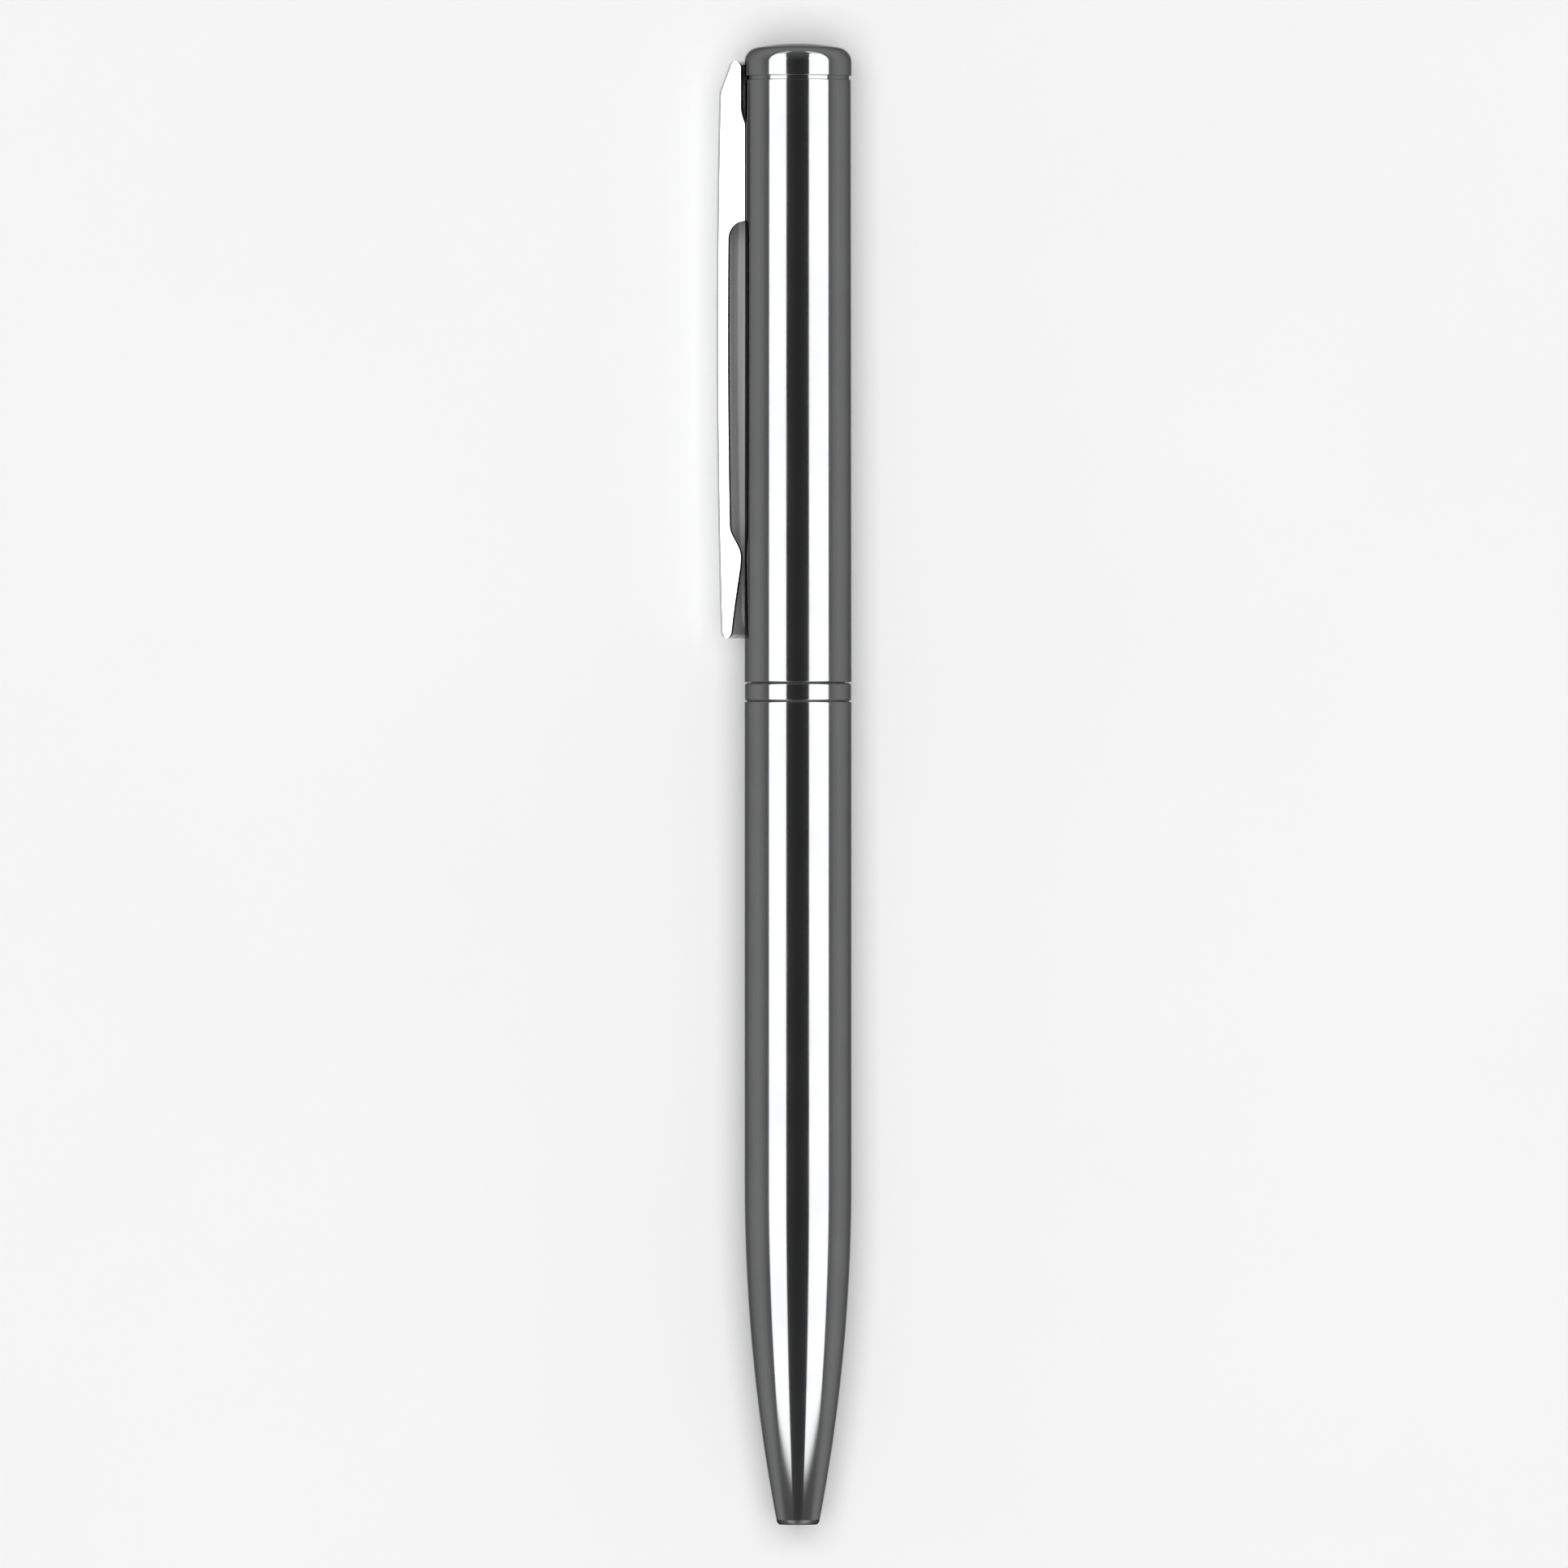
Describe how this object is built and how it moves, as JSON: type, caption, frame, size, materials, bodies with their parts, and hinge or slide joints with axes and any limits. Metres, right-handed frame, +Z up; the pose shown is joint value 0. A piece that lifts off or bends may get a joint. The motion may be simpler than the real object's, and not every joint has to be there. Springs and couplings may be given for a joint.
{
  "type": "mini ballpoint pen",
  "caption": "Slim polished metal twist-action ballpoint pen with a curved nose, a centre ring, a domed finial and a stamped channel clip.",
  "frame": {"origin": "on the table, at the middle of the pen's outline seen from above", "axes": "+Y along the pen from its point to its finial, +Z up from the table, clip on the -X side"},
  "size_m": [0.0101, 0.1106, 0.008],
  "materials": {
    "dark_chrome": "polished dark chrome",
    "bright_chrome": "polished bright chrome",
    "brass": "turned",
    "guide_plastic": "moulded",
    "white_plastic": "moulded acetal",
    "steel": "rolled spring steel",
    "refill_metal": "nickel plated",
    "carbide": "ground",
    "ink": "wet ink"
  },
  "bodies": {
    "lower": {"lower_barrel": "dark_chrome", "lower_insert": "brass", "centre_ring": "dark_chrome", "nipple": "brass", "guide_tube": "guide_plastic", "bearing_washer": "guide_plastic", "retaining_ring": "steel"},
    "upper": {"upper_barrel": "dark_chrome", "upper_liner": "guide_plastic", "cam_sleeve": "brass", "mechanism_cap": "guide_plastic", "clip_bush": "guide_plastic", "finial": "dark_chrome"},
    "clip": {"clip": "bright_chrome", "clip_anchor": "steel"},
    "refill": {"follower": "white_plastic", "drive_pin": "steel", "refill_tube": "refill_metal", "ink_column": "ink", "refill_point": "refill_metal"},
    "ball": {"writing_ball": "carbide"}
  },
  "joints": [
    {"name": "twist", "type": "hinge", "parent": "lower", "child": "upper", "pos_m": [0.00105, 0.0076, 0.004], "axis": [0, -1, 0], "range_deg": [0, 180]},
    {"name": "refill_travel", "type": "slide", "parent": "lower", "child": "refill", "axis": [0, -1, 0], "range_m": [0, 0.005]},
    {"name": "clip_spring", "type": "hinge", "parent": "upper", "child": "clip", "pos_m": [-0.00212, 0.04928, 0.00275], "axis": [0.3685, 0, -0.9296], "range_deg": [0, 2.4], "stiffness_Nm_per_rad": 2},
    {"name": "ball_roll", "type": "hinge", "parent": "refill", "child": "ball", "pos_m": [0.00105, -0.05435, 0.004], "axis": [1, 0, 0], "continuous": true}
  ],
  "couplings": [
    {"joint": "twist", "follows": "refill_travel", "rad_per_m": 628.32}
  ]
}
